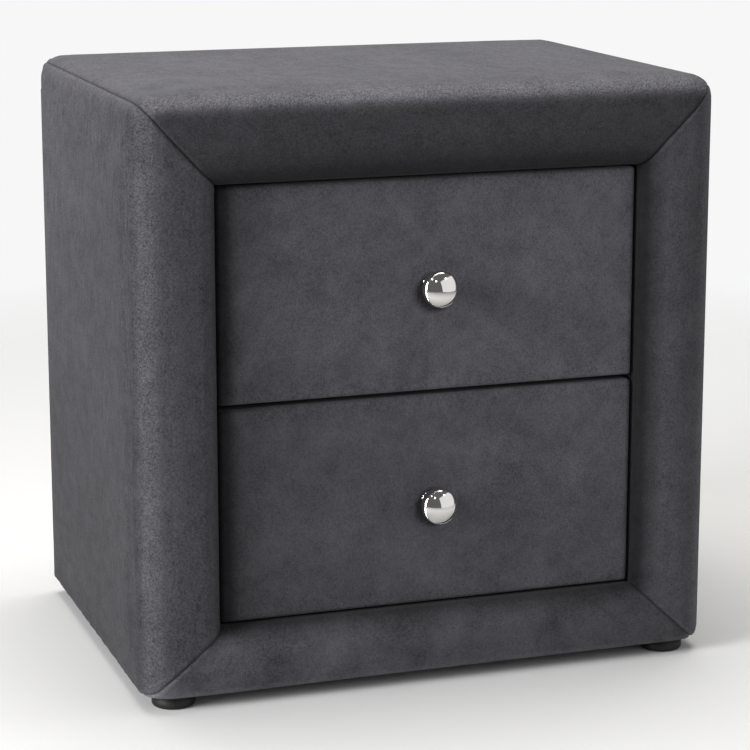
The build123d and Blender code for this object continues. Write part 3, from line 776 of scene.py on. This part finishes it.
# ---- materials ----
class Graph:
    """One material's nodes, made and linked by name."""

    def __init__(self, name):
        self.material = bpy.data.materials.new(name)
        self.material.use_nodes = True
        self.nodes = self.material.node_tree.nodes
        self.links = self.material.node_tree.links
        self.shader = self.nodes["Principled BSDF"]

    def add(self, kind, inputs=None, **settings):
        """New node; an input's value is a number, a colour or another node's output."""
        node = self.nodes.new(f"ShaderNode{kind}")
        for key, value in settings.items():
            setattr(node, key, value)
        for key, value in (inputs or {}).items():
            self.put(node.inputs[key], value)
        return node

    def put(self, socket, value):
        """Sets or links one input."""
        if isinstance(value, bpy.types.NodeSocket):
            self.links.new(value, socket)
        else:
            socket.default_value = value

    def noise(self, place, scale, detail=3, rough=0.55, distortion=0):
        """Noise value at a place."""
        node = self.add("TexNoise", {"Vector": place, "Scale": scale, "Detail": detail,
                                     "Roughness": rough, "Distortion": distortion})
        return node.outputs["Fac"]

    def math(self, operation, first, second=0.0, clamp=False):
        """Result of one sum."""
        node = self.add("Math", {0: first, 1: second}, operation=operation, use_clamp=clamp)
        return node.outputs[0]

    def span(self, value, low, high, to_low=0.0, to_high=1.0):
        """Value mapped from one range to another, clamped."""
        node = self.add("MapRange", {"Value": value, "From Min": low, "From Max": high,
                                     "To Min": to_low, "To Max": to_high})
        return node.outputs[0]

    def scaled(self, place, scale):
        """Place with each axis scaled."""
        return self.add("Mapping", {"Vector": place, "Scale": scale}).outputs[0]

    def object_place(self):
        """Place in the object's own space."""
        return self.add("TexCoord").outputs["Object"]

    def blend(self, share, first, second):
        """Colour between two colours."""
        node = self.add("Mix", {"Factor": share}, data_type="RGBA")
        self.put(node.inputs[6], first)
        self.put(node.inputs[7], second)
        return node.outputs[2]

    def bump(self, height, strength, distance, normal=None):
        """Normal from a height."""
        inputs = {"Height": height, "Strength": strength, "Distance": distance}
        if normal is not None:
            inputs["Normal"] = normal
        return self.add("Bump", inputs).outputs[0]

    def dress(self, colour, normal=None, roughness=None):
        """Sets or links the shader's colour, normal and roughness."""
        for key, value in (("Base Color", colour), ("Normal", normal), ("Roughness", roughness)):
            if value is not None:
                self.put(self.shader.inputs[key], value)


VELVET_DARK = (0.0151, 0.0145, 0.0182, 1)
VELVET_LIGHT = (0.1055, 0.1028, 0.1148, 1)
BRUSH_SHARE, TUFT_SHARE, GRAIN_SHARE = 0.13, 0.22, 0.65    # what each scale of marks adds to the tone
STREAK_SCALE = (24, 400, 36)
PEBBLE_SCALE = 700.0
PEBBLE_SHARE = 0.26


def flank_streaks(graph, strength):
    """Upright streaks of brushed nap on the flanks, none on faces that don't look sideways."""
    marks = graph.noise(graph.scaled(graph.object_place(), STREAK_SCALE), 1, 2, 0.6)
    marks = graph.math("SUBTRACT", graph.span(marks, 0.3, 0.7), 0.5)
    side_on = graph.add("SeparateXYZ", {0: graph.add("NewGeometry").outputs["Normal"]}).outputs[0]
    return graph.math("MULTIPLY", marks, graph.span(graph.math("ABSOLUTE", side_on), 0.8, 1, 0, strength))


def opened_pile(graph):
    """Height of the pebbles into which the pile opens where it bends."""
    bend = graph.add("Attribute", attribute_name="bend").outputs["Fac"]
    inputs = {"Vector": graph.object_place(), "Scale": PEBBLE_SCALE, "Smoothness": 0.4}
    cells = graph.add("TexVoronoi", inputs, feature="SMOOTH_F1")
    pebble = graph.math("MULTIPLY", graph.span(cells.outputs["Distance"], 0.1, 0.7), bend)
    return graph.math("SUBTRACT", graph.math("MULTIPLY", bend, 0.45), pebble)


def velvet(name, strokes, mottle, fineness=1150, streaks=0.0):
    """Brushed charcoal velvet. strokes scales the brush marks along X, Y and Z, drawn out in Y."""
    graph = Graph(name)
    place = graph.scaled(graph.object_place(), (1, 0.4, 1))
    patches = graph.span(graph.noise(place, 18, 2, 0.5, 0.8), 0.3, 0.7)
    brushed = graph.span(graph.noise(graph.scaled(place, strokes), 1, 2, 0.5, 0.5), 0.3, 0.7)
    tufts = graph.noise(graph.scaled(place, tuple(5 * scale for scale in strokes)), 1, 1, 0.5)
    tufts = graph.span(tufts, 0.25, 0.75)
    grain = graph.span(graph.noise(place, fineness, 1, 0.6), 0.2, 0.8)
    tone = graph.math("MULTIPLY", graph.math("SUBTRACT", patches, 0.5), mottle)
    tone = graph.math("ADD", tone, graph.math("MULTIPLY", brushed, BRUSH_SHARE))
    tone = graph.math("ADD", tone, graph.math("MULTIPLY", tufts, TUFT_SHARE))
    tone = graph.math("ADD", tone, graph.math("MULTIPLY", grain, GRAIN_SHARE), clamp=True)
    if streaks:
        tone = graph.math("ADD", tone, flank_streaks(graph, streaks), clamp=True)
    raised = opened_pile(graph)
    tone = graph.math("ADD", tone, graph.math("MULTIPLY", raised, PEBBLE_SHARE), clamp=True)
    colour = graph.blend(tone, VELVET_DARK, VELVET_LIGHT)
    # the mesh's painted light and shade scales the colour
    shade = graph.add("Attribute", attribute_name="shade").outputs["Fac"]
    colour = graph.add("VectorMath", {0: colour, "Scale": shade}, operation="SCALE").outputs[0]
    height = graph.math("ADD", graph.math("MULTIPLY", grain, 0.5), graph.math("MULTIPLY", tufts, 0.5))
    bump = graph.bump(height, 0.5, 0.4 * MM)
    bump = graph.bump(raised, 0.7, 0.5 * MM, bump)
    graph.dress(colour, bump, graph.span(brushed, 0, 1, 0.85, 0.75))
    graph.shader.inputs["Specular IOR Level"].default_value = 0.12
    graph.shader.inputs["Sheen Weight"].default_value = 0.08
    graph.shader.inputs["Sheen Roughness"].default_value = 0.5
    graph.shader.inputs["Sheen Tint"].default_value = (0.74, 0.73, 0.76, 1)
    return graph.material


def foam_look():
    """Open-cell foam, slightly yellowed."""
    graph = Graph("foam_look")
    place = graph.object_place()
    cells = graph.add("TexVoronoi", {"Vector": place, "Scale": 900.0})
    tint = graph.blend(graph.noise(place, 25), (0.70, 0.66, 0.52, 1), (0.86, 0.83, 0.72, 1))
    graph.dress(tint, graph.bump(cells.outputs["Distance"], 0.8, 0.5 * MM), 0.95)
    return graph.material


def chip_board():
    """Raw particle board: pressed chips of several browns."""
    graph = Graph("chip_board")
    place = graph.object_place()
    chips = graph.add("TexVoronoi", {"Vector": graph.scaled(place, (260, 420, 260)), "Scale": 1.0})
    chip_tone = graph.add("SeparateColor", {0: chips.outputs["Color"]}).outputs[0]
    tint = graph.blend(chip_tone, (0.42, 0.30, 0.18, 1), (0.74, 0.60, 0.42, 1))
    graph.dress(tint, graph.bump(chips.outputs["Distance"], 0.4, 0.3 * MM), 0.85)
    return graph.material


def hard_board():
    """Hardboard with a matt black face and faint pressed fibres."""
    graph = Graph("hard_board")
    place = graph.object_place()
    fibres = graph.noise(graph.scaled(place, (700, 700, 240)), 1, 4, 0.6, 0.8)
    clouds = graph.noise(place, 12, 3)
    both = graph.math("MULTIPLY", fibres, clouds)
    tint = graph.blend(both, (0.018, 0.018, 0.019, 1), (0.075, 0.073, 0.072, 1))
    graph.dress(tint, graph.bump(fibres, 0.35, 0.2 * MM), graph.span(fibres, 0.3, 0.7, 0.62, 0.78))
    return graph.material


def foil_board():
    """Drawer boards wrapped in black foil printed with a fine wood grain."""
    graph = Graph("foil_board")
    place = graph.object_place()
    grain = graph.noise(graph.scaled(place, (30, 14, 520)), 1, 5, 0.6, 0.5)
    tint = graph.blend(graph.span(grain, 0.3, 0.7), (0.022, 0.022, 0.024, 1), (0.062, 0.061, 0.062, 1))
    graph.dress(tint, graph.bump(grain, 0.2, 0.15 * MM), graph.span(grain, 0.3, 0.7, 0.5, 0.38))
    return graph.material


def zinc(name, low, high):
    """Zinc-plated steel with faint rolling marks along Y and clouded plating."""
    graph = Graph(name)
    place = graph.object_place()
    rolled = graph.noise(graph.scaled(place, (1500, 12, 1500)), 1, 3)
    clouds = graph.noise(place, 60, 4, 0.6, 0.8)
    tint = graph.blend(clouds, low, high)
    graph.dress(tint, graph.bump(rolled, 0.12, 0.05 * MM), graph.span(clouds, 0.3, 0.7, 0.31, 0.39))
    graph.shader.inputs["Metallic"].default_value = 1.0
    return graph.material


def polished_chrome():
    """Mirror-bright chrome plate with the faintest polishing haze."""
    graph = Graph("polished_chrome")
    place = graph.object_place()
    haze = graph.noise(place, 120, 3)
    tint = graph.blend(haze, (0.60, 0.585, 0.57, 1), (0.68, 0.665, 0.65, 1))
    graph.dress(tint, roughness=graph.span(haze, 0.3, 0.7, 0.03, 0.075))
    graph.shader.inputs["Metallic"].default_value = 1.0
    return graph.material


def moulded_plastic():
    """Black moulded plastic with a fine spark-eroded grain and scuffed high spots."""
    graph = Graph("moulded_plastic")
    place = graph.object_place()
    grain = graph.noise(place, 1400, 2)
    scuffs = graph.noise(place, 180, 4, 0.7, 1.0)
    tint = graph.blend(graph.span(scuffs, 0.5, 0.8), (0.006, 0.0055, 0.005, 1), (0.018, 0.016, 0.014, 1))
    graph.dress(tint, graph.bump(grain, 0.25, 0.1 * MM), graph.span(scuffs, 0.35, 0.75, 0.5, 0.64))
    graph.shader.inputs["Specular IOR Level"].default_value = 0.3
    return graph.material


velvets = {
    "top": velvet("velvet_top", (75, 110, 95), 0.14, 950),
    "left": velvet("velvet_left", (95, 90, 65), 0.14, 800, streaks=0.4),
    "right": velvet("velvet_right", (95, 90, 75), 0.14, 1000, streaks=0.4),
    "bottom": velvet("velvet_bottom", (80, 90, 90), 0.42),
    "drawer": velvet("velvet_drawer", (90, 90, 80), 0.20),
}
chrome = polished_chrome()
foot_plastic = moulded_plastic()
hardboard_look = hard_board()
# the look of each material slot of the record, for the pieces that come from CAD
CARRIED_OVER = {
    "foam": foam_look(),
    "board": chip_board(),
    "hardboard": hardboard_look,
    "drawer_board": foil_board(),
    "runner_steel": zinc("runner_zinc", (0.58, 0.59, 0.61, 1), (0.68, 0.69, 0.71, 1)),
    "screw_steel": zinc("screw_zinc", (0.45, 0.46, 0.48, 1), (0.66, 0.67, 0.69, 1)),
    "chrome": chrome,
    "foot_plastic": foot_plastic,
    "velvet": velvets["drawer"],
}


def dress_cad_nodes():
    """Gives each CAD node the look of its slot, and a dark one to the boards seen in the drawer gaps, which
    also stands in for the shade deep in the gaps.
    """
    slots = {part["node"]: part["material_slot"] for part in frame["record"]["subparts"]}
    for name, node in frame["nodes"].items():
        node.data.materials.clear()
        # boards seen through the drawer gaps: a black face that also stands in for the shade deep in the
        # gaps
        inside = name.endswith(("_runner_panel", "_stile"))
        node.data.materials.append(hardboard_look if inside else CARRIED_OVER[slots[name]])


# ---- studio ----
BACKDROP = 0.93                # brightness of the surroundings that the camera sees
ROOM_LIGHT = 0.16              # and of those that light the object
MIDDLE = (0, 0, 0.25)          # what the lights point at
OVERHEAD_POWER = 65
OVERHEAD_COLOUR = (1, 0.985, 0.95)
SIDE_POWER = 118
KEY_POWER = 56
LAMP_POWER = 2.4
LAMP_SIZE = (0.26, 0.26)
LAMP_PLACES = ((-1.3, -1.32, 2.13), (-0.75, -2.0, 1.9), (1.2, -1.5, 1.98))
FLOOR_HALF = 30
FLOOR_NEAR = 0.55              # the floor fades into the surroundings between these distances
FLOOR_FAR = 1.7
CAMERA_PLACE = (-0.697, -2.0405, 0.723)
CAMERA_YAW, CAMERA_PITCH = 18.97, 12.24
CAMERA_LENS = 120.7
CAMERA_SHIFT = -0.04


def area_light(name, place, size, power, colour=(1, 1, 1)):
    """Rectangular soft light that points at the object's middle."""
    light = bpy.data.lights.new(name, "AREA")
    light.shape = "RECTANGLE"
    light.size, light.size_y = size
    light.energy = power
    light.color = colour
    lamp = bpy.data.objects.new(name, light)
    lamp.location = place
    lamp.rotation_mode = "QUATERNION"
    lamp.rotation_quaternion = (Vector(MIDDLE) - Vector(place)).to_track_quat("-Z", "Y")
    bpy.context.scene.collection.objects.link(lamp)


def make_floor():
    """Plain pale floor that fades into the surroundings."""
    mesh = bpy.data.meshes.new("studio_floor")
    corners = [(FLOOR_HALF * x, FLOOR_HALF * y, 0) for x, y in ((-1, -1), (1, -1), (1, 1), (-1, 1))]
    mesh.from_pydata(corners, [], [(0, 1, 2, 3)])
    floor = linked("studio_floor", mesh)
    graph = Graph("studio_paper")
    graph.shader.inputs["Base Color"].default_value = (0.6, 0.6, 0.6, 1)
    graph.shader.inputs["Roughness"].default_value = 0.9
    graph.shader.inputs["Specular IOR Level"].default_value = 0.1
    away = graph.add("VectorMath", {0: graph.object_place()}, operation="LENGTH").outputs["Value"]
    clear = graph.add("BsdfTransparent").outputs[0]
    fade = graph.add("MixShader", {0: graph.span(away, FLOOR_NEAR, FLOOR_FAR)})
    graph.links.new(graph.shader.outputs[0], fade.inputs[1])
    graph.links.new(clear, fade.inputs[2])
    graph.links.new(fade.outputs[0], graph.nodes["Material Output"].inputs["Surface"])
    mesh.materials.append(graph.material)


def make_lights():
    """Soft lights from above, the left and the front right, and small ones for the knobs' glints."""
    area_light("overhead", (0.1, 0.35, 2.3), (2.0, 1.3), OVERHEAD_POWER, OVERHEAD_COLOUR)
    area_light("left_side", (-2.6, -0.8, 1.1), (1.0, 1.5), SIDE_POWER)
    area_light("front_right", (2.3, -2.3, 1.1), (5.2, 3.6), KEY_POWER)
    for number, place in enumerate(LAMP_PLACES):
        area_light(f"lamp_{number}", place, LAMP_SIZE, LAMP_POWER)


def make_world():
    """Pale surroundings to look at, and a dimmer studio to be lit by."""
    world = bpy.data.worlds.new("studio")
    world.use_nodes = True
    nodes, links = world.node_tree.nodes, world.node_tree.links
    seen = nodes["Background"]
    seen.inputs["Color"].default_value = (1, 1, 1, 1)
    seen.inputs["Strength"].default_value = BACKDROP
    room = nodes.new("ShaderNodeBackground")
    room.inputs["Color"].default_value = (1, 1, 1, 1)
    room.inputs["Strength"].default_value = ROOM_LIGHT
    rays = nodes.new("ShaderNodeLightPath")
    mix = nodes.new("ShaderNodeMixShader")
    links.new(rays.outputs["Is Camera Ray"], mix.inputs[0])
    links.new(room.outputs[0], mix.inputs[1])
    links.new(seen.outputs[0], mix.inputs[2])
    links.new(mix.outputs[0], nodes["World Output"].inputs["Surface"])
    bpy.context.scene.world = world


def make_camera():
    """Camera from the front left, slightly above, with the framing's small shift."""
    yaw, pitch = math.radians(CAMERA_YAW), math.radians(CAMERA_PITCH)
    camera = bpy.data.cameras.new("camera")
    camera.sensor_width = 36
    camera.lens = CAMERA_LENS
    camera.shift_y = CAMERA_SHIFT
    camera.clip_end = 100
    view = bpy.data.objects.new("camera", camera)
    view.location = CAMERA_PLACE
    forward = Vector((math.sin(yaw) * math.cos(pitch), math.cos(yaw) * math.cos(pitch), -math.sin(pitch)))
    view.rotation_mode = "QUATERNION"
    view.rotation_quaternion = forward.to_track_quat("-Z", "Y")
    bpy.context.scene.collection.objects.link(view)
    bpy.context.scene.camera = view


# ---- the model ----
dress_cad_nodes()
for number, side in enumerate(COVERS):
    make_cover(side, seed=100 * (number + 1))
for node in ("top_foam", "left_foam", "right_foam", "bottom_rail_foam"):
    make_foam(node, "cabinet", cabinet_form)
# each drawer with its painted light
for number, (prefix, tone) in enumerate(DRAWER_PAINTED_LIGHT.items()):
    make_drawer_cover(prefix, tone, seed=1000 + 10 * number)
    form = drawer_form(*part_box(f"{prefix}_drawer_cover"))
    make_foam(f"{prefix}_drawer_foam", f"{prefix}_drawer", form)
    make_knob(prefix)
for name in ("foot_front_left", "foot_front_right", "foot_rear_left", "foot_rear_right"):
    make_foot(name)
make_floor()
make_world()
make_lights()
make_camera()
bpy.context.scene.view_settings.view_transform = "Standard"
